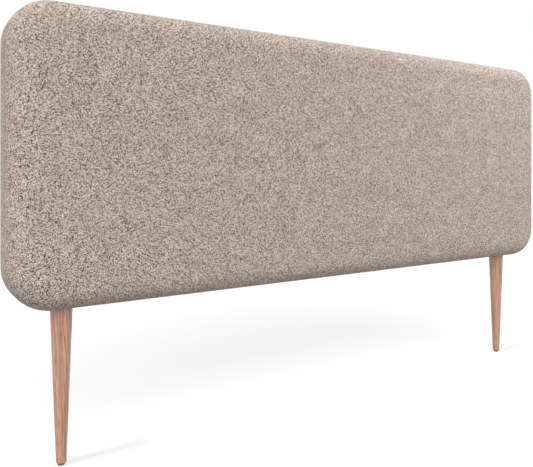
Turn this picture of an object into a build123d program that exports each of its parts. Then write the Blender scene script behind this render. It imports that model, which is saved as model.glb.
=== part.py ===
"""Upholstered headboard on two turned legs, in millimetres.

The panel is a tenoned softwood frame with a thin face board. A foam pad and a layer of
fibre wadding lie on it under one woven cover, which turns round the frame and is stapled
to its back through a dust cover. Each leg screws on from below with a hanger bolt.
X runs along the width, the front faces -Y and Z is up. The origin is on the floor under
the middle of the headboard.
"""

import os

from build123d import *

# Covered panel
panel_width = 1600
panel_height = 600
panel_depth = 100
corner_radius = 85

# Soft layers
cover_thickness = 1.2
wadding_thickness = 3
hem_width = 46
dust_cover_thickness = 0.6
dust_cover_margin = 17
foam_edge_land = 4

# Frame
frame_depth = 45
rail_width = 45
corner_block_size = 90
batten_width = 45
batten_count = 2
board_thickness = 4

# Stub tenons on the ends of the rails, stiles and battens
tenon_length = 24
tenon_thickness = 15
tenon_width = 29

# Legs
leg_length = 315
leg_top_diameter = 44
leg_foot_diameter = 20
leg_inset = 110
leg_shoulder_chamfer = 1.5
leg_foot_chamfer = 3

# Glides under the feet
glide_diameter = 14
glide_thickness = 3
glide_chamfer = 1
glide_nail_diameter = 2.5
glide_nail_length = 14

# Hanger bolts
bolt_diameter = 8
bolt_length = 80
bolt_depth_in_leg = 34
bolt_point_length = 8
bolt_point_diameter = 2
bolt_passage_diameter = 9

# Tee nuts
tee_flange_diameter = 22
tee_flange_thickness = 1.5
tee_barrel_diameter = 9.8
tee_barrel_length = 12
tee_prong_count = 3
tee_prong_width = 5
tee_prong_length = 7

# Staples in the back
staple_crown = 12
staple_leg = 9
staple_width = 1.2
staple_thickness = 0.6
staple_margin = 23
staples_per_quarter = 8

# Clearances
fit_gap = 0.1
end_gap = 1
overrun = 10

# Depths, counted along Y
front_face = -panel_depth / 2
back_face = panel_depth / 2
hem_face = back_face - dust_cover_thickness
frame_back = hem_face - cover_thickness
frame_front = frame_back - frame_depth
frame_middle = frame_back - frame_depth / 2
board_front = frame_front - board_thickness

# Heights, counted along Z
panel_bottom = glide_thickness + leg_length
panel_middle = panel_bottom + panel_height / 2
rail_top = panel_bottom + cover_thickness + wadding_thickness + rail_width

# Outer half sizes of the frame, which the wadding and the cover go round
frame_inset = cover_thickness + wadding_thickness
frame_half_width = panel_width / 2 - frame_inset
frame_half_height = panel_height / 2 - frame_inset

# The front edge is rounded through the foam, down to a short straight land at the board
front_round = board_front - front_face - foam_edge_land

# The cover turns onto the back with a bevel that just clears the frame's rear edge
back_bevel = frame_inset - fit_gap
wadding_back = frame_back - back_bevel

leg_x = panel_width / 2 - leg_inset
sides = {"left": -1, "right": 1}
levels = {"bottom": -1, "top": 1}


def upright(depth):
    """Drawing plane that faces the front at one depth, centred on the panel."""
    return Plane(origin=(0, depth, panel_middle), x_dir=(1, 0, 0), z_dir=(0, -1, 0))


def plate(inset, front, back):
    """Upright plate with the panel's outline drawn in by an even inset."""
    width = panel_width - 2 * inset
    height = panel_height - 2 * inset
    outline = RectangleRounded(width, height, corner_radius - inset)
    return extrude(upright(back) * outline, amount=back - front)


def padded_form(inset, back):
    """The panel with its rounded front edge, drawn in by an even inset, as far as one depth."""
    slab = plate(inset, front_face + inset, back)
    front_edges = slab.faces().sort_by(Axis.Y)[0].edges()
    return fillet(front_edges, front_round - inset)


def covered_form(inset, back):
    """The padded form with its bevelled rear edge."""
    form = padded_form(inset, back)
    rear_edges = form.faces().sort_by(Axis.Y)[-1].edges()
    return chamfer(rear_edges, back_bevel - inset)


def batten_places():
    """Middle of each batten along X: they share the width evenly with the stiles."""
    pitch = panel_width / (batten_count + 1)
    first = -pitch * (batten_count - 1) / 2
    return [first + i * pitch for i in range(batten_count)]


def straight_pieces():
    """Place, length and width of every rail, stile and batten, by node name."""
    rail_middle = frame_half_height - rail_width / 2
    rail_length = 2 * (frame_half_width - corner_block_size)
    stile_middle = frame_half_width - rail_width / 2
    stile_length = 2 * (frame_half_height - corner_block_size)
    batten_length = 2 * (frame_half_height - rail_width)
    pieces = {}
    for name, level in levels.items():
        pieces[f"{name}_rail"] = (Pos(0, level * rail_middle), rail_length, rail_width)
    for name, side in sides.items():
        place = Pos(side * stile_middle, 0) * Rot(0, 0, 90)
        pieces[f"{name}_stile"] = (place, stile_length, rail_width)
    for number, x_middle in enumerate(batten_places(), start=1):
        place = Pos(x_middle, 0) * Rot(0, 0, 90)
        pieces[f"batten_{number}"] = (place, batten_length, batten_width)
    return pieces


def timber(place, length, width):
    """Straight piece as deep as the frame, with a stub tenon on each end."""
    body = upright(frame_back) * place * Rectangle(length, width)
    tenon_back = frame_middle + tenon_thickness / 2
    tongue = upright(tenon_back) * place * Rectangle(length + 2 * tenon_length, tenon_width)
    return extrude(body, amount=frame_depth) + extrude(tongue, amount=tenon_thickness)


def mortises(place, length):
    """Room for the tenons of one straight piece, with clearance round them and at their ends."""
    thickness = tenon_thickness + 2 * fit_gap
    run = length + 2 * (tenon_length + end_gap)
    slot = upright(frame_middle + thickness / 2) * place * Rectangle(run, tenon_width + 2 * fit_gap)
    return extrude(slot, amount=thickness)


def staple():
    """Staple with the top of its crown along X on Z = 0 and its legs pointing down."""
    half = staple_crown / 2
    inner = half - staple_thickness
    shape = Polyline(
        (-half, -staple_leg),
        (-half, 0),
        (half, 0),
        (half, -staple_leg),
        (inner, -staple_leg),
        (inner, -staple_thickness),
        (-inner, -staple_thickness),
        (-inner, -staple_leg),
        close=True,
    )
    return extrude(Plane.XZ * make_face(shape), amount=staple_width / 2, both=True)


def staple_places():
    """Evenly spaced places on a line inside the panel's edge, mirrored from one quarter."""
    half_width = panel_width / 2 - staple_margin
    half_height = panel_height / 2 - staple_margin
    bend = corner_radius - staple_margin
    quarter = Wire(
        [
            Edge.make_line((0, half_height), (half_width - bend, half_height)),
            Edge.make_circle(bend, start_angle=0, end_angle=90).moved(
                Pos(half_width - bend, half_height - bend)
            ),
            Edge.make_line((half_width, half_height - bend), (half_width, 0)),
        ]
    )
    places = []
    for i in range(staples_per_quarter):
        share = (i + 0.5) / staples_per_quarter
        point = quarter.position_at(share)
        run = quarter.tangent_at(share)
        for side in sides.values():
            for level in levels.values():
                origin = (side * point.X, back_face, panel_middle + level * point.Y)
                along = (side * run.X, 0, level * run.Y)
                places.append(Plane(origin=origin, x_dir=along, z_dir=(0, 1, 0)))
    return places


def cover_staples():
    """All staples that hold the hem and the dust cover to the frame."""
    return [place * staple() for place in staple_places()]


def bolt_passages():
    """Clear holes for the hanger bolts through the bottom of the panel."""
    height = rail_top - panel_bottom + 2 * overrun
    drill = Cylinder(bolt_passage_diameter / 2, height)
    middle = (rail_top + panel_bottom) / 2
    return [Pos(side * leg_x, frame_middle, middle) * drill for side in sides.values()]


def fabric_cover():
    """One woven skin over the front and the sides, with its hem turned onto the back."""
    skin = covered_form(0, hem_face) - covered_form(cover_thickness, frame_back)
    opening = plate(hem_width, wadding_back, back_face)
    return skin - opening - bolt_passages() - cover_staples()


def fibre_wadding():
    """Thin soft layer between the cover and the foam that also wraps the frame's sides."""
    layer = padded_form(cover_thickness, wadding_back) - padded_form(frame_inset, wadding_back)
    return layer - bolt_passages()


def foam_pad():
    """Foam in front of the face board, rounded over at its edges."""
    return padded_form(frame_inset, board_front)


def face_board():
    """Thin board that closes the front of the frame and carries the foam."""
    return plate(frame_inset, board_front, frame_front)


def dust_cover():
    """Thin sheet over the open back of the frame and the raw edge of the hem."""
    return plate(dust_cover_margin, hem_face, back_face) - cover_staples()


def corner_block(side, level):
    """Plywood corner with the panel's round outside and a straight brace inside."""
    x_outer = frame_half_width
    z_outer = frame_half_height
    shape = Polyline(
        (x_outer, z_outer),
        (x_outer - corner_block_size, z_outer),
        (x_outer - corner_block_size, z_outer - rail_width),
        (x_outer - rail_width, z_outer - corner_block_size),
        (x_outer, z_outer - corner_block_size),
        close=True,
    )
    block = extrude(upright(frame_back) * make_face(shape), amount=frame_depth)
    block = block & plate(frame_inset, frame_front, frame_back)
    if side < 0:
        block = mirror(block, about=Plane.YZ)
    if level < 0:
        block = mirror(block, about=Plane.XY.offset(panel_middle))
    return block


def tee_prong():
    """Pointed prong bent down from the rim of a tee nut's flange."""
    half = tee_prong_width / 2
    shape = Polyline((-half, 0), (half, 0), (0, -tee_prong_length), close=True)
    inner = tee_flange_diameter / 2 - tee_flange_thickness
    return Pos(0, -inner) * extrude(Plane.XZ * make_face(shape), amount=tee_flange_thickness)


def tee_nut():
    """Pressed steel nut whose flange lies on Z = 0, with its barrel and prongs below."""
    flange = Cylinder(
        tee_flange_diameter / 2,
        tee_flange_thickness,
        align=(Align.CENTER, Align.CENTER, Align.MIN),
    )
    barrel = Cylinder(
        tee_barrel_diameter / 2,
        tee_barrel_length,
        align=(Align.CENTER, Align.CENTER, Align.MAX),
    )
    prongs = [
        Rot(0, 0, i * 360 / tee_prong_count) * tee_prong() for i in range(tee_prong_count)
    ]
    return flange + barrel + prongs


def tee_nut_at(side):
    """A tee nut, not yet bored, pressed into the upper face of the bottom rail."""
    return Pos(side * leg_x, frame_middle, rail_top) * tee_nut()


def bolt_axis(side):
    """Leg axis at the height of the leg's top."""
    return Pos(side * leg_x, frame_middle, panel_bottom)


def hanger_bolt():
    """Bolt with its machine thread up and its pointed wood screw down, from the leg's top."""
    radius = bolt_diameter / 2
    shape = Polyline(
        (0, -bolt_depth_in_leg),
        (bolt_point_diameter / 2, -bolt_depth_in_leg),
        (radius, bolt_point_length - bolt_depth_in_leg),
        (radius, bolt_length - bolt_depth_in_leg),
        (0, bolt_length - bolt_depth_in_leg),
        close=True,
    )
    return revolve(Plane.XZ * make_face(shape), Axis.Z)


def bolt_bore(radius, below, above):
    """Round hole about the leg's axis, from below to above the leg's top."""
    middle = (above - below) / 2
    return Pos(0, 0, middle) * Cylinder(radius, above + below)


def leg():
    """Turned leg under its own top face: a straight taper with a bevelled shoulder."""
    top = leg_top_diameter / 2
    foot = leg_foot_diameter / 2
    shape = Polyline(
        (0, -leg_length),
        (foot - leg_foot_chamfer, -leg_length),
        (foot, leg_foot_chamfer - leg_length),
        (top, 0),
        (0, 0),
        close=True,
    )
    turned = revolve(Plane.XZ * make_face(shape), Axis.Z)
    shoulder = turned.edges().filter_by(GeomType.CIRCLE).sort_by(Axis.Z)[-1]
    turned = chamfer(shoulder, leg_shoulder_chamfer)
    pilot = bolt_bore(bolt_diameter / 2 + fit_gap, bolt_depth_in_leg + end_gap, overrun)
    nail_depth = glide_nail_length + end_gap
    nail_hole = Pos(0, 0, nail_depth / 2 - leg_length) * Cylinder(
        glide_nail_diameter / 2 + fit_gap, nail_depth
    )
    return turned - pilot - nail_hole


def glide():
    """Hard glide nailed under a foot, with its top at Z = 0."""
    disc = Cylinder(
        glide_diameter / 2,
        glide_thickness,
        align=(Align.CENTER, Align.CENTER, Align.MAX),
    )
    disc = chamfer(disc.edges().sort_by(Axis.Z)[0], glide_chamfer)
    nail = Cylinder(
        glide_nail_diameter / 2,
        glide_nail_length,
        align=(Align.CENTER, Align.CENTER, Align.MIN),
    )
    return disc + nail


def frame_nodes():
    """Every wooden piece of the frame, with its joints cut and its fasteners' holes."""
    pieces = straight_pieces()
    battens = [mortises(*pieces[name][:2]) for name in pieces if name.startswith("batten")]
    others = [mortises(*pieces[name][:2]) for name in pieces if not name.startswith("batten")]
    cuts = bolt_passages() + cover_staples() + [tee_nut_at(side) for side in sides.values()]
    nodes = {}
    for name, (place, length, width) in pieces.items():
        shape = timber(place, length, width)
        if name.endswith("rail"):
            shape = shape - battens
        nodes[name] = shape - cuts
    for level_name, level in levels.items():
        for side_name, side in sides.items():
            block = corner_block(side, level)
            nodes[f"corner_block_{level_name}_{side_name}"] = block - others - cuts
    return nodes


def leg_nodes():
    """The legs with what fastens them and what they stand on."""
    nut_bore_radius = bolt_diameter / 2 + fit_gap
    nodes = {}
    for side_name, side in sides.items():
        axis = bolt_axis(side)
        bore = axis * bolt_bore(nut_bore_radius, overrun, rail_top)
        nodes[f"tee_nut_{side_name}"] = tee_nut_at(side) - bore
        nodes[f"hanger_bolt_{side_name}"] = axis * hanger_bolt()
        nodes[f"leg_{side_name}"] = axis * leg()
        nodes[f"glide_{side_name}"] = axis * Pos(0, 0, -leg_length) * glide()
    return nodes


def all_nodes():
    """Name and shape of every piece, from the outside in."""
    nodes = {
        "fabric_cover": fabric_cover(),
        "dust_cover": dust_cover(),
        "fibre_wadding": fibre_wadding(),
        "foam_pad": foam_pad(),
        "face_board": face_board(),
        "cover_staples": Compound(cover_staples()),
    }
    return {**nodes, **frame_nodes(), **leg_nodes()}


os.makedirs("parts", exist_ok=True)
for node_name, shape in all_nodes().items():
    export_step(shape, f"parts/{node_name}.step")
    print(node_name, len(shape.solids()), "solids", round(shape.volume), "mm3")
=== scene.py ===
# %% [markdown]
# # An upholstered headboard on two turned legs
#
# The object is a wide padded panel, covered in one piece of coarse marled cloth, that stands on
# two slim tapered wooden legs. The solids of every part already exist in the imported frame, in
# metres. This lesson dresses them: the soft layers are built again as real cloth and foam shapes,
# the rigid parts keep their solids, and every part gets its own finish.

import math

import bpy
import mathutils
import numpy as np
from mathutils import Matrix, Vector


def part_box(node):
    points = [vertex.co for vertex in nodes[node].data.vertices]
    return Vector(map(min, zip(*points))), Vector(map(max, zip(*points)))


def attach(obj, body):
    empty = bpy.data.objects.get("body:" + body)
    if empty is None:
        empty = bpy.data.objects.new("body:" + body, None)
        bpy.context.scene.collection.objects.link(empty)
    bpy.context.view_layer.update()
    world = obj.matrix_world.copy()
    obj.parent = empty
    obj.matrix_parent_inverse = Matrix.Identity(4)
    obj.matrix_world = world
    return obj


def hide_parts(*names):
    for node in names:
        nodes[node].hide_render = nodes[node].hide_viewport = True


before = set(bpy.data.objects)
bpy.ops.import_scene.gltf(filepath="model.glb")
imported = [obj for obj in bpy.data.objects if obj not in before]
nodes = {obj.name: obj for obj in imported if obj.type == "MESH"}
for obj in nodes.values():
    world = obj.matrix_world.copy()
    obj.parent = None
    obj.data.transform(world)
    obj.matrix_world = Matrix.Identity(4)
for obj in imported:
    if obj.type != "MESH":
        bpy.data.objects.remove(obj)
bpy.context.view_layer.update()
print("nodes in the frame:", len(nodes))

# %% [markdown]
# ## Sizes
#
# The lesson measures the solids instead of typing their sizes again. What a box can't say, such as
# the radius of a corner, is given in millimetres.

# %% Sizes of the panel
MM = 0.001
cover_low, cover_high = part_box("fabric_cover")
half_width = (cover_high.x - cover_low.x) / 2
half_height = (cover_high.z - cover_low.z) / 2
panel_middle = (cover_high.z + cover_low.z) / 2
front_face = cover_low.y
hem_face = cover_high.y
corner_radius = 85 * MM
front_round = 45.2 * MM
print("panel in mm:", round(half_width / MM * 2), "x", round(half_height / MM * 2))

# %% [markdown]
# ## Camera
#
# The photograph keeps its uprights upright, so the camera is level and the picture is moved up
# with lens shift instead of tilting the camera down. Place, turn and focal length come from
# matching the straight edges of the panel and the feet of the legs.

# %% Camera at the photograph's place
IMAGE_WIDTH = 533
FOCAL_PIXELS = 591.44
SHIFT_PIXELS = (-0.1, -62.5)
CAMERA_PLACE = (-0.9842, -1.1961, 0.5883)
CAMERA_TURN = math.radians(32.684)
camera_data = bpy.data.cameras.new("camera")
camera_data.sensor_width = 36
camera_data.lens = FOCAL_PIXELS / IMAGE_WIDTH * camera_data.sensor_width
camera_data.shift_x = SHIFT_PIXELS[0] / IMAGE_WIDTH
camera_data.shift_y = SHIFT_PIXELS[1] / IMAGE_WIDTH
camera = bpy.data.objects.new("camera", camera_data)
camera.location = CAMERA_PLACE
camera.rotation_euler = (math.radians(90), 0, -CAMERA_TURN)
scene = bpy.context.scene
scene.collection.objects.link(camera)
bpy.context.scene.camera = camera
print("lens in mm:", round(camera_data.lens, 2))

# %% [markdown]
# ## Studio
#
# The photograph is a cut-out look: white ground, white background and soft light. World and floor
# can't simply be white, because they would then light the object from every side. So both are
# white only where they are looked at. Helpers come first, because every finish needs them: one
# turns a hex colour into linear light, and one adds a node with its settings and links.


# %% Helpers for colours and nodes
def srgb(code):
    """Turns an sRGB hex colour into the linear values that shaders work with."""
    parts = [int(code[i : i + 2], 16) / 255 for i in (0, 2, 4)]
    linear = [c / 12.92 if c <= 0.04045 else ((c + 0.055) / 1.055) ** 2.4 for c in parts]
    return (*linear, 1)


def feed(node, inputs):
    """Fills a node's inputs with values, sockets, or nodes, whose first output is linked."""
    for name, value in inputs.items():
        if isinstance(value, bpy.types.Node):
            value = value.outputs[0]
        if isinstance(value, bpy.types.NodeSocket):
            node.id_data.links.new(value, node.inputs[name])
        else:
            node.inputs[name].default_value = value


def add(tree, kind, inputs=None, stops=(), **settings):
    """Adds one node. kind is its type without the word ShaderNode, settings are its own
    properties, and stops the places and colours of a ramp."""
    made = tree.nodes.new("ShaderNode" + kind)
    for name, value in settings.items():
        setattr(made, name, value)
    feed(made, inputs or {})
    for _ in stops[2:]:
        made.color_ramp.elements.new(0.5)
    for number, (position, colour) in enumerate(stops):
        made.color_ramp.elements[number].position = position
        made.color_ramp.elements[number].color = srgb(colour)
    return made


print("mid grey in linear light:", round(srgb("808080")[0], 3))

# %% [markdown]
# The Light Path node tells what kind of ray arrives. Rays from the camera, a reflection or a view
# through glass look at a thing, and get plain white. All others carry light to the object, and get
# the fill.

# %% World
FILL_STRENGTH = 0.46
scene.view_settings.view_transform = "Standard"


def looked_at(tree):
    """1 where the camera, a reflection or a view through glass looks, 0 where light bounces."""
    path = add(tree, "LightPath")
    direct = add(tree, "Math",
                 {0: path.outputs["Is Camera Ray"], 1: path.outputs["Is Glossy Ray"]},
                 operation="MAXIMUM")
    return add(tree, "Math", {0: direct, 1: path.outputs["Is Transmission Ray"]},
               operation="MAXIMUM")


world = bpy.data.worlds.new("studio")
world.use_nodes = True
scene.world = world
tree = world.node_tree
tree.nodes.clear()
white = add(tree, "Background", {"Color": srgb("ffffff"), "Strength": 1.0})
fill = add(tree, "Background", {"Color": srgb("ffffff"), "Strength": FILL_STRENGTH})
either = add(tree, "MixShader", {0: looked_at(tree), 1: fill, 2: white})
add(tree, "OutputWorld", {"Surface": either})
print("fill:", FILL_STRENGTH)

# %% [markdown]
# The floor is matt paint. Where it is looked at, a part of its white comes from its own glow, so
# that shadows stay as faint as on the photograph's ground. Where light bounces off it, it is plain
# grey, which leaves the underside of the panel in shade.

# %% Floor
REACH = 40
FLOOR_GLOW = 0.295
floor_mesh = bpy.data.meshes.new("studio_floor")
floor_mesh.from_pydata([(-REACH, -REACH, 0), (REACH, -REACH, 0), (REACH, REACH, 0),
                        (-REACH, REACH, 0)], [], [(0, 1, 2, 3)])
floor = bpy.data.objects.new("studio_floor", floor_mesh)
scene.collection.objects.link(floor)
floor_paint = bpy.data.materials.new("emulsion paint, matt")
floor_paint.use_nodes = True
tree = floor_paint.node_tree
tree.nodes.clear()
glow = add(tree, "Emission", {"Color": srgb("ffffff"), "Strength": FLOOR_GLOW})
shown = add(tree, "BsdfDiffuse", {"Color": srgb("cacaca")})
lit = add(tree, "AddShader", {0: glow, 1: shown})
bounce = add(tree, "BsdfDiffuse", {"Color": srgb("7e7c7a")})
either = add(tree, "MixShader", {0: looked_at(tree), 1: bounce, 2: lit})
add(tree, "OutputMaterial", {"Surface": either})
floor_mesh.materials.append(floor_paint)
print("floor side in m:", 2 * REACH)

# %% [markdown]
# ## Lamps
#
# Three sun lamps with wide discs stand for big softboxes far away, which light near and far floor
# alike. The front one is as wide as a wall, so its shadows melt away. A small one stands high at
# the left, and one behind the right end brightens the far sides of panel and legs.


# %% Softboxes far away
def softbox(name, direction, angle, energy):
    """A sun lamp that shines from a direction, with a disc of some degrees."""
    data = bpy.data.lights.new(name, "SUN")
    data.angle = math.radians(angle)
    data.energy = energy
    lamp = bpy.data.objects.new(name, data)
    across = math.hypot(direction[0], direction[1])
    lamp.rotation_euler = (math.atan2(across, direction[2]), 0,
                           math.atan2(direction[0], -direction[1]))
    scene.collection.objects.link(lamp)
    return lamp


softbox("front_softbox", (-0.24, -0.82, 0.36), angle=84, energy=2.95)
side_softbox = softbox("side_softbox", (-1.0, -0.03, 1.75), angle=12, energy=1.2)
softbox("back_softbox", (0.75, 0.62, 0.26), angle=50, energy=1.9)
print("turn of the side lamp:", [round(math.degrees(a)) for a in side_softbox.rotation_euler])

# %% [markdown]
# In the photograph each foot draws a faint wedge of shadow to the right, and the panel draws none
# in that direction. Light linking gives this: only the legs and glides block the lamp at the left,
# while all other light casts the shadow of the whole object. A weak lamp near the upper right end,
# hidden from the camera, gives the brighter cloth that the photograph has there.

# %% What blocks the left lamp, and the near lamp
NEAR_PLACE = mathutils.Vector((0.85, -0.35, 1.25))
NEAR_AIM = mathutils.Vector((0.7, 0.0, 0.85))
shadow_makers = bpy.data.collections.new("legs and glides")
for name in ("leg_left", "leg_right", "glide_left", "glide_right"):
    shadow_makers.objects.link(nodes[name])
side_softbox.light_linking.blocker_collection = shadow_makers
near_data = bpy.data.lights.new("near_softbox", "AREA")
near_data.size = 0.6
near_data.energy = 1.4
near_softbox = bpy.data.objects.new("near_softbox", near_data)
near_softbox.location = NEAR_PLACE
near_softbox.rotation_euler = (NEAR_AIM - NEAR_PLACE).to_track_quat("-Z", "Y").to_euler()
near_softbox.visible_camera = False
scene.collection.objects.link(near_softbox)

# %% [markdown]
# ## The shape of the padded panel
#
# A panel like this starts as a slab of foam with rounded corners. The cloth lies flat on the
# front, rolls over the foam's rounded edge, runs back along the side and turns onto the back. A
# subdivided box would pinch at its corners. So one mesh is laid out to fit: a grid of quads for
# the front, whose rim is a rounded rectangle, and rings that carry the rim outwards and back.


# %% Rim of a rounded rectangle
def rim(half_x, half_z, radius, steps_x, steps_z, steps_bend):
    """Corner centres and outward directions along the four sides of a rounded rectangle."""
    a, b = half_x - radius, half_z - radius

    def side(first, last, turn, steps):
        """One side: half a bend, the straight and half a bend, turning clockwise."""
        eighth = math.pi / 4
        bend = np.linspace(0, eighth, steps_bend + 1)
        share = np.linspace(0, 1, steps + 1)[1:-1]
        centres = [first] * (steps_bend + 1)
        centres += [tuple(np.array(first) * (1 - s) + np.array(last) * s) for s in share]
        centres += [last] * (steps_bend + 1)
        angles = list(turn + eighth - bend) + [turn] * len(share) + list(turn - bend)
        return np.array(centres), np.array(angles)

    quarter = math.pi / 2
    top = side((-a, b), (a, b), quarter, steps_x)
    right = side((a, b), (a, -b), 0, steps_z)
    bottom = side((a, -b), (-a, -b), -quarter, steps_x)
    left = side((-a, -b), (-a, b), -2 * quarter, steps_z)
    return top, right, bottom, left


def on_rim(side, radius):
    """Points at one radius from the bends' centres."""
    centres, angles = side
    return centres + radius * np.stack([np.cos(angles), np.sin(angles)], 1)


sides = rim(half_width, half_height, corner_radius, steps_x=92, steps_z=26, steps_bend=9)
rim_centres = np.concatenate([s[0][:-1] for s in sides])
rim_angles = np.concatenate([s[1][:-1] for s in sides])
print("points round the rim:", len(rim_angles))

# %% [markdown]
# The grid's inside points are moved until each lies at the average of its neighbours, which
# spreads them evenly without any fold.


# %% Grid inside the rim
def relaxed_grid(sides, radius, rounds=2500):
    """Grid of points that fills the rim: each inside point is the mean of its four neighbours."""
    top, right, bottom, left = [on_rim(s, radius) for s in sides]
    rows, columns = len(right), len(top)
    u = np.linspace(0, 1, columns)[None, :, None]
    v = np.linspace(0, 1, rows)[:, None, None]
    grid = (1 - v) * top[None] + v * bottom[::-1][None]
    across = (1 - u) * left[::-1][:, None] + u * right[:, None]
    grid = np.where((u > 0) & (u < 1) & (v > 0) & (v < 1), (grid + across) / 2, grid)
    grid[:, 0], grid[:, -1] = left[::-1], right
    grid[0], grid[-1] = top, bottom[::-1]
    for _ in range(rounds):
        grid[1:-1, 1:-1] = (grid[:-2, 1:-1] + grid[2:, 1:-1] + grid[1:-1, :-2] + grid[1:-1, 2:]) / 4
    return grid


flat_radius = corner_radius - front_round
front_grid = relaxed_grid(sides, flat_radius)
front_count = front_grid.shape[0] * front_grid.shape[1]
print("front grid:", front_grid.shape[0], "x", front_grid.shape[1], "points")

# %% [markdown]
# A profile says how far the rings reach out from the bends' centres and how deep they lie. The
# front edge is a quarter round. At the rear, only the cover turns in, as a hem on the back.

# %% Profile of the edge
FRONT_RINGS, REAR_RINGS, HEM_RINGS = 8, 3, 7
REAR_ROUND = 4.1 * MM
HEM_WIDTH = 46 * MM


def edge_profile(inset, rear, turned_in=0.0, straight_steps=4):
    """Rings of one layer as radius from the bend's centre and depth, from front to rear."""
    bend = front_round - inset
    front = front_face + inset
    rings = [(flat_radius + bend * math.sin(t), front + bend * (1 - math.cos(t)))
             for t in np.linspace(0, math.pi / 2, FRONT_RINGS + 1)[1:]]
    outer = flat_radius + bend
    small = REAR_ROUND if turned_in else 0
    rings += [(outer, y) for y in np.linspace(rings[-1][1], rear - small, straight_steps + 1)[1:]]
    if turned_in:
        rings += [(outer - small * (1 - math.cos(t)), rear - small * (1 - math.sin(t)))
                  for t in np.linspace(0, math.pi / 2, REAR_RINGS + 1)[1:]]
        hem_end = corner_radius - turned_in
        rings += [(r, rear) for r in np.linspace(outer - small, hem_end, HEM_RINGS + 1)[1:]]
    return rings


cover_rings = edge_profile(0, hem_face, turned_in=HEM_WIDTH)
print("rings of the cover:", len(cover_rings))

# %% [markdown]
# The rings also count how much cloth has been used since the flat front. That number is kept as a
# place on the flat cloth, so that the weave can run over the edge and onto the back unbroken.


# %% Points and quads of a layer
def layer_points(front, rings):
    """All points of a layer and, for each, its place on the flat cloth."""
    flat = front_grid.reshape(-1, 2)
    points = [np.stack([flat[:, 0], np.full(len(flat), front), flat[:, 1] + panel_middle], 1)]
    cloth = [flat]
    out = np.stack([np.cos(rim_angles), np.sin(rim_angles)], 1)
    used, last = 0.0, (flat_radius, front)
    for radius, depth in rings:
        used += math.hypot(radius - last[0], depth - last[1])
        last = (radius, depth)
        place = rim_centres + radius * out
        points.append(np.stack([place[:, 0], np.full(len(out), depth),
                                place[:, 1] + panel_middle], 1))
        cloth.append(rim_centres + (flat_radius + used) * out)
    return np.concatenate(points), np.concatenate(cloth)


def grid_quads(index):
    """Quads between the neighbouring points of a grid that is seen from the front."""
    rows, columns = index.shape
    return [(index[r, c], index[r + 1, c], index[r + 1, c + 1], index[r, c + 1])
            for r in range(rows - 1) for c in range(columns - 1)]


def edge_loop(index):
    """The points round the edge of a grid, clockwise."""
    return np.concatenate([index[0, :-1], index[:-1, -1], index[-1, :0:-1], index[:0:-1, 0]])


def layer_faces(ring_count):
    """Quads of the front grid and of the rings, and the points of the last ring."""
    index = np.arange(front_count).reshape(front_grid.shape[:2])
    faces = grid_quads(index)
    loop = edge_loop(index)
    count = len(loop)
    for ring in range(ring_count):
        after = np.arange(front_count + ring * count, front_count + (ring + 1) * count)
        faces += [(loop[i], loop[(i + 1) % count], after[(i + 1) % count], after[i])
                  for i in range(count)]
        loop = after
    return faces, loop


cover_points, cover_cloth = layer_points(front_face, cover_rings)
cover_faces, _ = layer_faces(len(cover_rings))
print("cover:", len(cover_points), "points,", len(cover_faces), "quads")

# %% [markdown]
# Small helpers turn such points into a Blender object, read them back, and apply its modifiers.


# %% Helpers for pieces
def new_piece(name, points, faces, cloth=None):
    """Makes a smooth mesh object, with the place on the flat cloth stored at each point."""
    mesh = bpy.data.meshes.new(name)
    mesh.from_pydata([tuple(p) for p in points], [], [tuple(int(i) for i in f) for f in faces])
    if cloth is not None:
        store = mesh.attributes.new("cloth_place", "FLOAT_VECTOR", "POINT")
        flat = np.zeros((len(cloth), 3), np.float32)
        flat[:, :2] = cloth
        store.data.foreach_set("vector", flat.ravel())
    mesh.shade_smooth()
    piece = bpy.data.objects.new(name, mesh)
    scene.collection.objects.link(piece)
    return piece


def settle_modifiers(piece):
    """Replaces a piece's mesh by what its modifiers make of it."""
    bpy.context.view_layer.update()
    graph = bpy.context.evaluated_depsgraph_get()
    made = bpy.data.meshes.new_from_object(piece.evaluated_get(graph))
    piece.modifiers.clear()
    piece.data = made
    made.shade_smooth()


def points_of(mesh):
    """All points of a mesh as rows of three numbers."""
    numbers = np.zeros(len(mesh.vertices) * 3)
    mesh.vertices.foreach_get("co", numbers)
    return numbers.reshape(-1, 3)


def thicken(piece, thickness):
    """Gives a sheet its thickness, inwards from the face that is drawn."""
    solid = piece.modifiers.new("thickness", "SOLIDIFY")
    solid.thickness = thickness
    solid.offset = -1
    settle_modifiers(piece)


print("helpers for pieces are ready")

# %% [markdown]
# ## How the foam fills the cover
#
# Foam under tight cloth pushes the middle of the front out by a few millimetres and leaves the rim
# where the staples hold it. A dome from a formula looks stiff, so cloth simulation gives the form:
# the sides and the hem are pinned, gravity is off, and a light pressure blows the front up. The
# movement is then limited to what firm foam gives.


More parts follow.
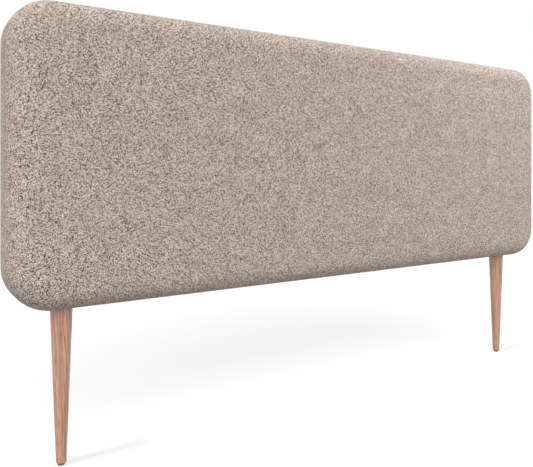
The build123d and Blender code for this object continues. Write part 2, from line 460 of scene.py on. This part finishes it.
# %% Blow the cover up a little
def simulated_rise():
    """How far cloth simulation moves each point of the cover, limited smoothly."""
    piece = new_piece("pressure_test", cover_points, cover_faces)
    group = piece.vertex_groups.new(name="held")
    loops = len(rim_angles)
    for ring in range(len(cover_rings)):
        start = front_count + ring * loops
        # The rings are held more firmly the further back they lie.
        group.add(list(range(start, start + loops)), min(1.0, 0.25 + 0.12 * ring), "REPLACE")
    cloth = piece.modifiers.new("cloth", "CLOTH")
    for name, value in dict(quality=5, mass=0.4, tension_stiffness=60, compression_stiffness=60,
                            bending_stiffness=4, use_pressure=True, uniform_pressure_force=4,
                            vertex_group_mass="held").items():
        setattr(cloth.settings, name, value)
    cloth.settings.effector_weights.gravity = 0
    cloth.collision_settings.use_collision = False
    cloth.point_cache.frame_start = 1
    cloth.point_cache.frame_end = PRESSURE_FRAMES
    for number in range(1, PRESSURE_FRAMES + 1):
        scene.frame_set(number)
    after = piece.evaluated_get(bpy.context.evaluated_depsgraph_get()).data
    moved = points_of(after) - cover_points
    scene.frame_set(1)
    bpy.data.objects.remove(piece)
    length = np.linalg.norm(moved, axis=1, keepdims=True)
    print("simulation moved the front by up to", round(float(length.max()) / MM, 1), "mm")
    usual = float(np.percentile(length[:front_count], 80))
    return moved / np.maximum(length, 1e-9) * FOAM_RISE * np.tanh(length / usual)


PRESSURE_FRAMES = 20
FOAM_RISE = 4.5 * MM
rise = simulated_rise()
print("front stands out by up to", round(float(-rise[:, 1].min()) / MM, 2), "mm")

# %% [markdown]
# ## The cover
#
# The foam under the cloth is never perfectly even, so the front of a real panel has waves of a few
# tenths of a millimetre, far apart. A sum of broad sine waves gives them. A noise would add small
# bumps, which real cloth bridges.


# %% Front with waves
def smooth_waves(flat, seed, reach, height):
    """Sum of a few broad sine waves with seeded directions."""
    draw = np.random.default_rng(seed)
    total = np.zeros(len(flat))
    for _ in range(WAVES):
        angle = draw.uniform(0, 2 * math.pi)
        pitch = reach * draw.uniform(0.6, 1.8)
        phase = draw.uniform(0, 2 * math.pi)
        along = flat[:, 0] * math.cos(angle) + flat[:, 1] * math.sin(angle)
        total += np.sin(2 * math.pi * along / pitch + phase)
    return height * total / math.sqrt(WAVES)


WAVES = 14
points = cover_points + rise
on_front = points[:, 1] < front_face + 20 * MM
points[:, 1] -= smooth_waves(cover_cloth, 7, reach=0.16, height=0.30 * MM) * on_front
cover = new_piece("woven_cover", points, cover_faces, cover_cloth)
smooth = cover.modifiers.new("smooth", "SUBSURF")
smooth.levels = smooth.render_levels = 1
settle_modifiers(cover)
print("cover mesh:", len(cover.data.polygons), "faces")

# %% [markdown]
# On the back, the cloth has too much length where it turns round each bend, and the upholsterer
# folds it into small pleats. They are pressed flat at the panel's edge and again where staples and
# dust cloth hold them. A ripple over the angle of the bend, between those two lines, gives them.


# %% Pleats in the hem
def pleats(x, z):
    """Height of the folds round each bend."""
    out_x = np.maximum(np.abs(x) - (half_width - corner_radius), 0)
    out_z = np.maximum(np.abs(z) - (half_height - corner_radius), 0)
    angle, inward = np.arctan2(out_z, out_x), corner_radius - np.hypot(out_x, out_z)
    share = np.interp(inward, PLEAT_LINES, [0, 1, 1, 0])
    fold = 1 - np.abs(np.sin(angle * 2 * PLEATS_PER_BEND)) ** 0.7
    return PLEAT_HEIGHT * share * fold * np.clip(3 * np.sin(2 * angle), 0, 1)


PLEATS_PER_BEND = 6
PLEAT_HEIGHT = 1.8 * MM
# How far in from the edge the pleats start, are full, are full for the last time, and end.
PLEAT_LINES = (2 * MM, 6 * MM, 13 * MM, 17 * MM)
points = points_of(cover.data)
on_back = points[:, 1] > hem_face - 0.05 * MM
points[:, 1] += np.where(on_back, pleats(points[:, 0], points[:, 2] - panel_middle), 0)
cover.data.vertices.foreach_set("co", points.ravel())
cover.data.update()
print("pleats stand up to", round(float(points[:, 1].max() - hem_face) / MM, 2), "mm proud")

# %% [markdown]
# The cloth gets its thickness last, so that both of its faces have the same waves and pleats. Then
# the piece takes the place of its solid in the frame.

# %% Thickness and place of the cover
cover_thickness = 1.2 * MM
thicken(cover, cover_thickness)
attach(cover, "root")
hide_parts("fabric_cover")
print("cover mesh:", len(cover.data.polygons), "faces")

# %% [markdown]
# ## Wadding and foam
#
# A thin fibre layer keeps the cloth from rubbing on the foam and rounds the frame's edges. It is
# made with the same grid and rise as the cover, so that the layers nest.


# %% Wadding
def soft_layer(inset, rear, straight_steps):
    """Points, faces and last ring of a layer that lies under the cover."""
    rings = edge_profile(inset, rear, straight_steps=straight_steps)
    places, _ = layer_points(front_face + inset, rings)
    places[:front_count] += rise[:front_count]
    faces, last = layer_faces(len(rings))
    return places, faces, last


wadding_thickness = 3 * MM
wadding_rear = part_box("fibre_wadding")[1].y
wadding_points, wadding_faces, _ = soft_layer(cover_thickness, wadding_rear, straight_steps=4)
wadding = new_piece("fibre_layer", wadding_points, wadding_faces)
thicken(wadding, wadding_thickness)
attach(wadding, "root")
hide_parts("fibre_wadding")
print("wadding mesh:", len(wadding.data.polygons), "faces")

# %% [markdown]
# The foam is one block, cut from a slab. So the same layer gets a flat rear face, a second grid
# whose rim is the last ring of the first part.

# %% Foam
foam_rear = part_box("foam_pad")[1].y
foam_inset = cover_thickness + wadding_thickness
foam_points, foam_faces, foam_rim = soft_layer(foam_inset, foam_rear, straight_steps=1)
rear_grid = relaxed_grid(sides, corner_radius - foam_inset)
inner = rear_grid[1:-1, 1:-1].reshape(-1, 2)
rear_points = np.stack([inner[:, 0], np.full(len(inner), foam_rear),
                        inner[:, 1] + panel_middle], 1)
rear_index = np.zeros(rear_grid.shape[:2], int)
places = edge_loop(np.arange(rear_index.size).reshape(rear_index.shape))
rear_index.flat[places] = foam_rim
rear_index[1:-1, 1:-1].flat = np.arange(len(inner)) + len(foam_points)
foam_faces += [(a, d, c, b) for a, b, c, d in grid_quads(rear_index)]
foam = new_piece("foam_block", np.concatenate([foam_points, rear_points]), foam_faces)
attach(foam, "root")
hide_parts("foam_pad")
print("foam mesh:", len(foam.data.polygons), "faces")

# %% [markdown]
# ## Dust cloth
#
# The open back of the frame is closed by a thin non-woven sheet. It is stretched by hand and
# stapled, so it sinks a little over the hollows of the frame and dips at each staple. The staples'
# places are read from their solid: the points of a crown lie just under the back face, and those
# close together belong to one crown.

# %% Places of the staples
dust_low, dust_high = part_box("dust_cover")
back_face = dust_high.y
CROWN_DEPTH = 0.2 * MM
SAME_STAPLE = 20 * MM
crowns = []
for vertex in nodes["cover_staples"].data.vertices:
    if vertex.co.y > back_face - CROWN_DEPTH:
        point = np.array(tuple(vertex.co))
        mine = [c for c in crowns if np.linalg.norm(c[0] - point) < SAME_STAPLE]
        if mine:
            mine[0].append(point)
        else:
            crowns.append([point])
staple_places = [np.mean(crown, 0) for crown in crowns]
print("staples:", len(staple_places))

# %% [markdown]
# The sheet is a grid like the panel's front, drawn in by the margin that the solid has. Over each
# of the three bays between stiles and battens it hangs in as a shallow bowl.

# %% Sheet and the hollows under it
dust_margin = half_width - (dust_high.x - dust_low.x) / 2
dust_radius = corner_radius - dust_margin
dust_sides = rim(half_width - dust_margin, half_height - dust_margin, dust_radius,
                 steps_x=190, steps_z=66, steps_bend=12)
dust_grid = relaxed_grid(dust_sides, dust_radius, rounds=1500)
dust_flat = dust_grid.reshape(-1, 2)
dust_x, dust_z = dust_flat[:, 0], dust_flat[:, 1] + panel_middle
left_batten, right_batten = sorted([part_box("batten_1"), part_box("batten_2")], key=lambda b: b[0].x)
bays = ((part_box("left_stile")[1].x, left_batten[0].x), (left_batten[1].x, right_batten[0].x),
        (right_batten[1].x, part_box("right_stile")[0].x))
bay_top, bay_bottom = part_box("top_rail")[0].z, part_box("bottom_rail")[1].z
SINK = 4.5 * MM
sink = np.zeros(len(dust_flat))
for bay_left, bay_right in bays:
    u = (dust_x - bay_left) / (bay_right - bay_left)
    v = (dust_z - bay_bottom) / (bay_top - bay_bottom)
    inside = (u > 0) & (u < 1) & (v > 0) & (v < 1)
    bowl = np.clip(16 * u * (1 - u) * v * (1 - v), 0, 1) ** 0.5
    sink = np.where(inside, SINK * bowl, sink)
print("bays in mm:", [round((right - left) / MM) for left, right in bays])

# %% [markdown]
# Between the staples the sheet puffs up a little off the hem. At each staple a bell curve a few
# millimetres wide draws it down to just under the crown.

# %% Dust cloth
LIFT = 0.4 * MM
DIP_WIDTH = 7 * MM
DIP_DEPTH = 0.75 * MM
outer_face = back_face + LIFT + smooth_waves(dust_flat, 11, reach=0.09, height=0.30 * MM) - sink
for place in staple_places:
    gap = np.hypot(dust_x - place[0], dust_z - place[2])
    dip = np.exp(-((gap / DIP_WIDTH) ** 2))
    outer_face = outer_face * (1 - dip) + dip * (back_face - DIP_DEPTH)
dust_index = np.arange(len(dust_flat)).reshape(dust_grid.shape[:2])
dust = new_piece("dust_cloth", np.stack([dust_x, outer_face, dust_z], 1),
                 [(a, d, c, b) for a, b, c, d in grid_quads(dust_index)], dust_flat)
thicken(dust, 0.5 * MM)
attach(dust, "root")
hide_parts("dust_cover")

# %% [markdown]
# ## The cover's cloth
#
# It is a coarse tweed, woven of marled wool yarns about one millimetre apart in a
# two-over-two-under twill. The eye gets a lively speckle with faint diagonals and a dull, slightly
# hairy surface. The pattern is computed from the place on the flat cloth, in thread counts, so it
# is sharp at any distance and runs on over every edge.


# %% Material helper, and the thread counts of the tweed
def material(name):
    """A node material with a principled shader and an output."""
    made = bpy.data.materials.new(name)
    made.use_nodes = True
    tree = made.node_tree
    tree.nodes.clear()
    shader = add(tree, "BsdfPrincipled")
    add(tree, "OutputMaterial", {"Surface": shader})
    return made, tree, shader


WARP_SPACING = 1.19 * MM
WEFT_SPACING = 0.95 * MM
# Hand and loom leave the threads uneven: every 7 mm or so they wander by a fifth of their spacing.
WANDER_PITCH = 7.143 * MM
WANDER = 0.4
tweed, tree, shader = material("marled wool tweed, woven")
place = add(tree, "Attribute", attribute_name="cloth_place").outputs["Vector"]
threads = add(tree, "VectorMath",
              {0: place, 1: (1 / WARP_SPACING, 1 / WEFT_SPACING, 0)}, operation="MULTIPLY")
wander = add(tree, "TexNoise",
             {"Vector": place, "Scale": 1 / WANDER_PITCH, "Detail": 1.0}, noise_dimensions="2D")
uneven = add(tree, "VectorMath",
             {0: wander.outputs["Color"], 1: (WANDER, WANDER, 0), 2: threads},
             operation="MULTIPLY_ADD")
print("thread spacing in mm:", WARP_SPACING / MM, WEFT_SPACING / MM)

# %% [markdown]
# Whole thread counts name the crossing that a point lies in, and what is left says where in the
# crossing it lies. In such a twill each row of floats starts one thread further along than the
# last. So the sum of both counts, wrapped at four, tells which yarn is on top: the warp, which
# runs up the panel, or the weft, which runs along it.

# %% Twill: which yarn is on top
FLOAT_THREADS = 2
crossing = add(tree, "VectorMath", {0: uneven}, operation="FLOOR")
within = add(tree, "VectorMath", {0: uneven}, operation="FRACTION")
warp_number, weft_number, _ = add(tree, "SeparateXYZ", {0: crossing}).outputs
warp_share, weft_share, _ = add(tree, "SeparateXYZ", {0: within}).outputs
diagonal = add(tree, "Math", {0: warp_number, 1: weft_number}, operation="ADD")
step = add(tree, "Math", {0: diagonal, 1: 2 * FLOAT_THREADS}, operation="FLOORED_MODULO")
warp_on_top = add(tree, "Math", {0: step, 1: FLOAT_THREADS - 0.5}, operation="LESS_THAN")
yarn_number = add(tree, "Mix", {0: warp_on_top, 2: weft_number, 3: warp_number})
along_number = add(tree, "Mix", {0: warp_on_top, 2: warp_number, 3: weft_number})
across_share = add(tree, "Mix", {0: warp_on_top, 2: weft_share, 3: warp_share})
along_share = add(tree, "Mix", {0: warp_on_top, 2: warp_share, 3: weft_share})
print("nodes so far:", len(tree.nodes))

# %% [markdown]
# A float is a short arched pillow of yarn: round across, and bent down at both ends where it dives
# under its neighbour. Two blunted sine humps, multiplied, give its height. The same height darkens
# the tone where the float is low: painted shade in the grooves between floats.

# %% Form of a float
before = add(tree, "Math", {0: step, 1: FLOAT_THREADS}, operation="MODULO")
covered = add(tree, "Math", {0: before, 1: along_share}, operation="ADD")
length_share = add(tree, "Math", {0: covered, 1: FLOAT_THREADS}, operation="DIVIDE")
humps = []
for share, bluntness in ((across_share, 0.6), (length_share, 0.4)):
    half_turn = add(tree, "Math", {0: share, 1: math.pi}, operation="MULTIPLY")
    sine = add(tree, "Math", {0: half_turn}, operation="SINE")
    humps.append(add(tree, "Math", {0: sine, 1: bluntness}, operation="POWER"))
height = add(tree, "Math", {0: humps[0], 1: humps[1]}, operation="MULTIPLY")
# Painted shade: the tone darkens where the float is low, in the grooves between floats.
painted_groove_shade = add(tree, "ValToRGB", {"Fac": height}, stops=[(0.0, "6a6058"), (0.36, "ffffff")])
print("float in mm:", FLOAT_THREADS * WEFT_SPACING / MM, "by", WARP_SPACING / MM)

# %% [markdown]
# Marled yarn is spun from light and dark wool, so that its tone changes every few millimetres. The
# number of the yarn and the number of the stretch along it make a name for each stretch, and white
# noise turns that name into a tone. A quarter of the stretches are dark.

# %% Tone of each stretch of yarn
# One and a half crossings long. The start shifts the whole pattern and has no other meaning.
STRETCH = 1.5
STRETCH_START = 40.25
stretches = add(tree, "Math", {0: along_number, 1: 1 / STRETCH, 2: STRETCH_START},
                operation="MULTIPLY_ADD")
stretch_number = add(tree, "Math", {0: stretches}, operation="FLOOR")
identity = add(tree, "CombineXYZ", {0: yarn_number, 1: stretch_number, 2: warp_on_top})
chance = add(tree, "TexWhiteNoise", {"Vector": identity}, noise_dimensions="3D")
yarn_tone = add(tree, "ValToRGB", {"Fac": chance},
                stops=[(0.0, "1c1411"), (0.25, "3a2c26"), (0.365, "a99388"), (0.455, "f8e4d8"),
                       (1.0, "fffbf4")])
print("tones of yarn:", len(yarn_tone.color_ramp.elements))

# %% [markdown]
# Three fainter layers keep the yarns from looking printed: single fibres, streaks where the spun
# yarn is thicker and thinner, and broad clouds from dyeing.

# %% Fibres, streaks and clouds
FIBRES_PER_THREAD = 3.1
STREAK_STRETCH = 0.09
CLOUD_WIDTH = 45.45 * MM
# A streak is one thread wide and eleven long, so the warp's and the weft's counts shrink in turns.
warp_run = add(tree, "VectorMath", {0: uneven, 1: (1, STREAK_STRETCH, 0)}, operation="MULTIPLY")
weft_run = add(tree, "VectorMath", {0: uneven, 1: (STREAK_STRETCH, 1, 0)}, operation="MULTIPLY")
run = add(tree, "Mix", {0: warp_on_top, 4: weft_run, 5: warp_run}, data_type="VECTOR")
faint_tones = []
for where, scale, detail, stops in (
    (threads, FIBRES_PER_THREAD, 2.0, [(0.3, "eeecea"), (0.7, "ffffff")]),
    (run.outputs[1], 1.0, 0.0, [(0.3, "e2deda"), (0.62, "ffffff")]),
    (place, 1 / CLOUD_WIDTH, 3.0, [(0.3, "f6f3f0"), (0.7, "ffffff")]),
):
    noise = add(tree, "TexNoise",
                {"Vector": where, "Scale": scale, "Detail": detail}, noise_dimensions="2D")
    faint_tones.append(add(tree, "ValToRGB", {"Fac": noise}, stops=stops))
print("fibre width in mm:", round(WARP_SPACING / FIBRES_PER_THREAD / MM, 2))

# %% [markdown]
# Each yarn is two plies twisted together, which leaves slanting ridges along it, two to a float.
# They shape its relief, and painted shade darkens the yarn a little between the ridges.

# %% Twisted plies
PLY_TURNS = 2.0
PLY_SLANT = 0.9
ply_across = add(tree, "Math", {0: across_share, 1: PLY_SLANT}, operation="MULTIPLY")
ply_place = add(tree, "Math", {0: length_share, 1: PLY_TURNS, 2: ply_across},
                operation="MULTIPLY_ADD")
ply_angle = add(tree, "Math", {0: ply_place, 1: 2 * math.pi}, operation="MULTIPLY")
ply_wave = add(tree, "Math", {0: ply_angle}, operation="SINE")
ply_rise = add(tree, "Math", {0: ply_wave, 1: 0.5, 2: 0.5}, operation="MULTIPLY_ADD")
# Painted shade: the tone darkens a little between the ply ridges.
painted_ply_shade = add(tree, "ValToRGB", {"Fac": ply_rise}, stops=[(0.0, "d2c9c2"), (0.4, "ffffff")])
# The ridges take up a quarter of the yarn's height.
ply_share = add(tree, "Math", {0: ply_rise, 1: 0.25, 2: 0.75}, operation="MULTIPLY_ADD")
yarn_height = add(tree, "Math", {0: height, 1: ply_share}, operation="MULTIPLY")
print("ridge every", round(FLOAT_THREADS * WEFT_SPACING / PLY_TURNS / MM, 2), "mm")

# %% [markdown]
# All tones are multiplied, the painted shade of grooves and plies among them, the height becomes
# relief, and the surface is as matt as wool: rough, with a weak shine, and a faint sheen from the
# fibres that stand off it.

# %% Tweed put together
YARN_RELIEF = 0.4 * MM


def multiplied(tree, tone, layers):
    """The tone, multiplied by each layer in turn. A layer is a strength and a colour."""
    for strength, layer in layers:
        tone = add(tree, "Mix", {0: strength, 6: tone, 7: layer},
                   data_type="RGBA", blend_type="MULTIPLY").outputs[2]
    return tone


def dress(piece, finish):
    """Gives a piece or a solid one finish in place of all it had."""
    slots = piece.data.materials
    if len(slots) == 0:
        slots.append(finish)
    for i in range(len(slots)):
        slots[i] = finish


tone = multiplied(tree, yarn_tone,
                  [(1.0, layer) for layer in (*faint_tones, painted_groove_shade, painted_ply_shade)])
relief = add(tree, "Bump", {"Height": yarn_height, "Strength": 0.7, "Distance": YARN_RELIEF})
feed(shader, {"Base Color": tone, "Normal": relief, "Roughness": 0.92,
              "Specular IOR Level": 0.2, "Sheen Weight": 0.2, "Sheen Roughness": 0.5,
              "Sheen Tint": srgb("f3ece6")})
dress(cover, tweed)
print("nodes in the tweed:", len(tree.nodes))

# %% [markdown]
# ## Wadding, foam and dust cloth
#
# The wadding is polyester fibre, carded into a fleece: the eye gets a soft white cloud with no
# shine. The foam is polyurethane, cut with a band knife: a pale yellow sponge of fine cells. Both
# are dull stuffs of one grain, so one noise gives each its tone and its relief.


# %% Wadding and foam
def grained(name, low, high, grain, roughness, depth):
    """A dull material whose tone and relief come from one noise with a grain of some size."""
    made, tree, shader = material(name)
    space = add(tree, "TexCoord").outputs["Object"]
    noise = add(tree, "TexNoise", {"Vector": space, "Scale": 1 / grain, "Detail": 4.0})
    tone = add(tree, "ValToRGB", {"Fac": noise}, stops=[(0.3, low), (0.7, high)])
    relief = add(tree, "Bump", {"Height": noise, "Strength": 0.5, "Distance": depth})
    feed(shader, {"Base Color": tone, "Normal": relief, "Roughness": roughness})
    return made


# The fibres' crimps are about 3 mm wide. Foam cells of 0.6 mm are drawn at 1.4 mm, so they show.
CRIMP = 3.125 * MM
FOAM_CELL = 1.4286 * MM
dress(wadding, grained("polyester fibre wadding, carded", "dcdcda", "f6f6f4", CRIMP,
                       roughness=0.95, depth=1 * MM))
dress(foam, grained("polyurethane foam, cut", "d6c9a0", "efe6c6", FOAM_CELL,
                    roughness=0.9, depth=0.4 * MM))
print("wadding and foam dressed")

# %% [markdown]
# The dust cloth is polypropylene, spunbond: melted threads blown into a web and pressed together
# by a studded roller. The eye gets a black felt with an even pattern of dots, slightly shinier
# than wool. The dots are a Voronoi pattern with no randomness, which is a plain grid.

# %% Spunbond dust cloth
# The embossed dots are about 1 mm apart and are drawn at 2 mm, so that they still show.
DOT_SPACING = 2 * MM
WEB_GRAIN = 1.4286 * MM
spunbond, tree, shader = material("polypropylene dust cloth, spunbond")
place = add(tree, "Attribute", attribute_name="cloth_place").outputs["Vector"]
dots = add(tree, "TexVoronoi",
           {"Vector": place, "Scale": 1 / DOT_SPACING, "Randomness": 0.0},
           voronoi_dimensions="2D")
web = add(tree, "TexNoise", {"Vector": place, "Scale": 1 / WEB_GRAIN, "Detail": 3.0},
          noise_dimensions="2D")
web_tone = add(tree, "ValToRGB", {"Fac": web}, stops=[(0.3, "2c2c2e"), (0.7, "464649")])
dot_tone = add(tree, "ValToRGB", {"Fac": dots}, stops=[(0.25, "a8a8aa"), (0.4, "ffffff")])
relief = add(tree, "Bump", {"Height": dots, "Strength": 0.4, "Distance": 0.1 * MM})
feed(shader, {"Base Color": multiplied(tree, web_tone, [(1.0, dot_tone)]), "Normal": relief,
              "Roughness": 0.75, "Sheen Weight": 0.15})
dress(dust, spunbond)
print("dots in mm:", DOT_SPACING / MM)

# %% [markdown]
# ## Turned legs
#
# The legs are taken for beech, turned and lacquered: the eye gets a pale pinkish wood with brown
# flames and small dark flecks under a mild, even shine. A tree grows a ring a year round its pith,
# and a leg is cut well away from it. Stretched noise would give plain stripes. So the finish
# measures how far each point lies from a pith line that leans past the leg. The lathe cuts through
# the rings, and the flames and arches of turned wood come out by themselves.


# %% Distance from the pith
def pith_distance(tree, centred, pith, lean):
    """How far each point of the leg lies from the pith, whose place drifts with height."""
    x, y, z = add(tree, "SeparateXYZ", {0: centred}).outputs
    gaps = []
    for own, start, drift in ((x, pith[0], lean[0]), (y, pith[1], lean[1])):
        line = add(tree, "Math", {0: z, 1: drift, 2: start}, operation="MULTIPLY_ADD")
        gaps.append(add(tree, "Math", {0: own, 1: line}, operation="SUBTRACT"))
    level = add(tree, "CombineXYZ", {0: gaps[0], 1: gaps[1], 2: 0.0})
    return add(tree, "VectorMath", {0: level}, operation="LENGTH").outputs["Value"]


leg_low, leg_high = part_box("leg_left")
print("leg in mm:", [round(s / MM) for s in leg_high - leg_low])

# %% [markdown]
# Rings of about 5 mm are those of a tree that grew fast. Soft noise, drawn out along the grain,
# pushes them about, because no two years are alike. Each ring goes from the brown line of late
# summer to pale and back.


# %% Year rings
def year_rings(tree, centred, distance):
    """Tone of the year rings."""
    drawn_out = add(tree, "Mapping", {"Vector": centred, "Scale": (1.0, 1.0, 0.12)})
    wobble = add(tree, "TexNoise", {"Vector": drawn_out, "Scale": 1 / WOBBLE_WIDTH, "Detail": 2.0})
    pushed = add(tree, "Math", {0: wobble, 1: WOBBLE_HEIGHT, 2: distance},
                 operation="MULTIPLY_ADD")
    rings = add(tree, "Math", {0: pushed, 1: 1 / RING_SPACING}, operation="MULTIPLY")
    ring_share = add(tree, "Math", {0: rings}, operation="FRACT")
    return add(tree, "ValToRGB", {"Fac": ring_share},
               stops=[(0.0, "b28b74"), (0.12, "c69f8a"), (0.55, "d6b19c"), (0.88, "c09882"),
                      (1.0, "b28b74")])


RING_SPACING = 5.2 * MM
WOBBLE_WIDTH = 26.316 * MM
WOBBLE_HEIGHT = 3.2 * RING_SPACING
print("ring spacing in mm:", RING_SPACING / MM)

# %% [markdown]
# Within the rings, pores run lengthwise, broader streaks of darker wood go with them, and rays of
# storage cells show as short dark flecks. Beech pores are under 0.1 mm and its flecks about 1 mm
# wide, which is too fine for the picture, so both are drawn coarser.


# %% Pores, streaks and flecks
def wood_marks(tree, centred):
    """Strengths and tones of pores, streaks and flecks, and the pores' noise for the relief."""
    long = add(tree, "Mapping", {"Vector": centred, "Scale": (1.0, 1.0, 0.035)})
    short = add(tree, "Mapping", {"Vector": centred, "Scale": (1.0, 1.0, 0.22)})
    pores = add(tree, "TexNoise", {"Vector": long, "Scale": 1 / PORE_WIDTH, "Detail": 2.0})
    streaks = add(tree, "TexNoise", {"Vector": long, "Scale": 1 / STREAK_WIDTH, "Detail": 2.0})
    flecks = add(tree, "TexVoronoi", {"Vector": short, "Scale": 1 / FLECK_SPACING})
    marks = [(strength, add(tree, "ValToRGB", {"Fac": mark}, stops=stops))
             for strength, mark, stops in (
                 (0.5, pores, [(0.36, "bba191"), (0.5, "ffffff")]),
                 (1.0, streaks, [(0.36, "e2d2c6"), (0.62, "ffffff")]),
                 (0.55, flecks, [(0.10, "a68474"), (0.20, "ffffff")]))]
    return marks, pores


PORE_WIDTH = 1.1111 * MM
STREAK_WIDTH = 8.3333 * MM
FLECK_SPACING = 3.8462 * MM
print("fleck spacing in mm:", round(FLECK_SPACING / MM, 1))

# %% [markdown]
# The two legs come from different boards, so each has a pith line of its own. The lacquer is thin
# and satin: wood and coat both have a soft gloss, and the pores can just be felt.


# %% Turned and lacquered legs
def turned_beech(name, leg, pith, lean):
    """Beech for one leg, with the pith beside it at mid-height and leaning as it grew."""
    made, tree, shader = material(name)
    low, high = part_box(leg)
    centred = add(tree, "VectorMath",
                  {0: add(tree, "TexCoord").outputs["Object"],
                   1: tuple((low + high) / 2)}, operation="SUBTRACT")
    rings = year_rings(tree, centred, pith_distance(tree, centred, pith, lean))
    marks, pores = wood_marks(tree, centred)
    relief = add(tree, "Bump", {"Height": pores, "Strength": 0.15, "Distance": 0.05 * MM})
    feed(shader, {"Base Color": multiplied(tree, rings, marks), "Normal": relief,
                  "Roughness": 0.38, "Specular IOR Level": 0.3, "Coat Weight": 0.1,
                  "Coat Roughness": 0.3})
    dress(nodes[leg], made)


turned_beech("beech, turned and lacquered, left leg", "leg_left",
             pith=(0.052, -0.030), lean=(-0.045, -0.030))
turned_beech("beech, turned and lacquered, right leg", "leg_right",
             pith=(0.030, -0.054), lean=(-0.030, -0.050))
print("legs dressed:", [nodes[leg].active_material.name for leg in ("leg_left", "leg_right")])

# %% [markdown]
# ## Frame timber and boards
#
# Rails, stiles and battens are pine, planed: the eye gets honey-coloured bands of soft and hard
# wood that run along the piece, and hardly a shine. A board is flat, so stretched noise is enough
# here. Wrapping its value many times makes bands about 2 mm wide, each with a dark, sharp end.


# %% Pine rails, stiles and battens
def planed_pine(name, grain):
    """Planed pine whose growth bands are drawn out along the piece."""
    made, tree, shader = material(name)
    space = add(tree, "TexCoord").outputs["Object"]
    drawn = add(tree, "Mapping", {"Vector": space, "Scale": tuple(1 / width for width in grain)})
    noise = add(tree, "TexNoise",
                {"Vector": drawn, "Scale": 1.0, "Detail": 3.0, "Distortion": 0.4})
    bands = add(tree, "Math", {0: noise, 1: BANDS}, operation="MULTIPLY")
    share = add(tree, "Math", {0: bands}, operation="FRACT")
    tone = add(tree, "ValToRGB", {"Fac": share},
               stops=[(0.0, "e3c493"), (0.75, "d9b47e"), (0.95, "b98749"), (1.0, "dfbe8b")])
    feed(shader, {"Base Color": tone, "Roughness": 0.68})
    return made


BANDS = 22.0
GRAIN_WIDTH = 20.833 * MM
GRAIN_LENGTH = 277.78 * MM
along_x = planed_pine("pine, planed, grain along the width",
                      (GRAIN_LENGTH, GRAIN_WIDTH, GRAIN_WIDTH))
along_z = planed_pine("pine, planed, grain upright", (GRAIN_WIDTH, GRAIN_WIDTH, GRAIN_LENGTH))
for name in ("top_rail", "bottom_rail"):
    dress(nodes[name], along_x)
for name in ("left_stile", "right_stile", "batten_1", "batten_2"):
    dress(nodes[name], along_z)
print("pine pieces: 6, grain in mm:", round(GRAIN_LENGTH / MM), "by", round(GRAIN_WIDTH / MM))

# %% [markdown]
# The corner blocks are birch plywood, sawn: on the sawn edges the eye gets thin light and dark
# layers with a brown glue line between them. The face board is hardboard, pressed from wood fibre:
# an even dark brown with a fine grain.

# %% Plywood corner blocks and hardboard
VENEER = 1.8 * MM
FIBRE_GRAIN = 1.1111 * MM
plywood, tree, shader = material("birch plywood, sawn")
space = add(tree, "TexCoord").outputs["Object"]
_, depth, _ = add(tree, "SeparateXYZ", {0: space}).outputs
# A light and a dark veneer, whose grain runs along and across, make one turn of the pattern.
layers = add(tree, "Math", {0: depth, 1: 1 / (2 * VENEER)}, operation="MULTIPLY")
share = add(tree, "Math", {0: layers}, operation="FRACT")
tone = add(tree, "ValToRGB", {"Fac": share},
           stops=[(0.0, "d8b98a"), (0.46, "d2b081"), (0.5, "8a6238"), (0.54, "b98f5c"),
                  (0.97, "bd9460"), (1.0, "8a6238")])
feed(shader, {"Base Color": tone, "Roughness": 0.7})
for corner in ("top_left", "top_right", "bottom_left", "bottom_right"):
    dress(nodes[f"corner_block_{corner}"], plywood)
dress(nodes["face_board"], grained("hardboard, pressed", "6e4d31", "8a6644", FIBRE_GRAIN,
                                   roughness=0.6, depth=0.1 * MM))
print("veneer in mm:", VENEER / MM)

# %% [markdown]
# ## Metal and plastic
#
# Bolts and tee nuts are steel, zinc plated, and the staples galvanised steel wire: the eye gets a
# cool, bright grey with faint patches where the crystals of the zinc turn. Both are metals with
# the default IOR, and the wire is duller. Real crystals are too fine to see and are drawn 1.4 mm
# wide.


# %% Zinc-plated steel and galvanised wire
def zinc_coated(name, low, high, roughness):
    """Steel under zinc, with faint crystal patches."""
    made, tree, shader = material(name)
    space = add(tree, "TexCoord").outputs["Object"]
    crystals = add(tree, "TexVoronoi", {"Vector": space, "Scale": 1 / CRYSTAL})
    tone = add(tree, "ValToRGB", {"Fac": crystals}, stops=[(0.0, low), (1.0, high)])
    feed(shader, {"Base Color": tone, "Metallic": 1.0, "Roughness": roughness})
    return made


CRYSTAL = 1.4286 * MM
plated = zinc_coated("steel, zinc plated", "b4b6b8", "cdd0d2", roughness=0.32)
for name in ("tee_nut_left", "tee_nut_right", "hanger_bolt_left", "hanger_bolt_right"):
    dress(nodes[name], plated)
dress(nodes["cover_staples"],
      zinc_coated("steel wire, galvanised", "a9abad", "c6c8ca", roughness=0.4))
print("metal dressed, crystals in mm:", round(CRYSTAL / MM, 1))

# %% [markdown]
# The glides under the feet are polyethylene, moulded: the eye gets a dark brown plastic with a
# soft shine, which a fine grain from the mould breaks up.

# %% Moulded glides
MOULD_GRAIN = 0.4 * MM
moulded = grained("polyethylene, moulded", "4d3b31", "5c483c", MOULD_GRAIN,
                  roughness=0.5, depth=0.03 * MM)
for name in ("glide_left", "glide_right"):
    dress(nodes[name], moulded)
print("glides dressed, grain in mm:", MOULD_GRAIN / MM)
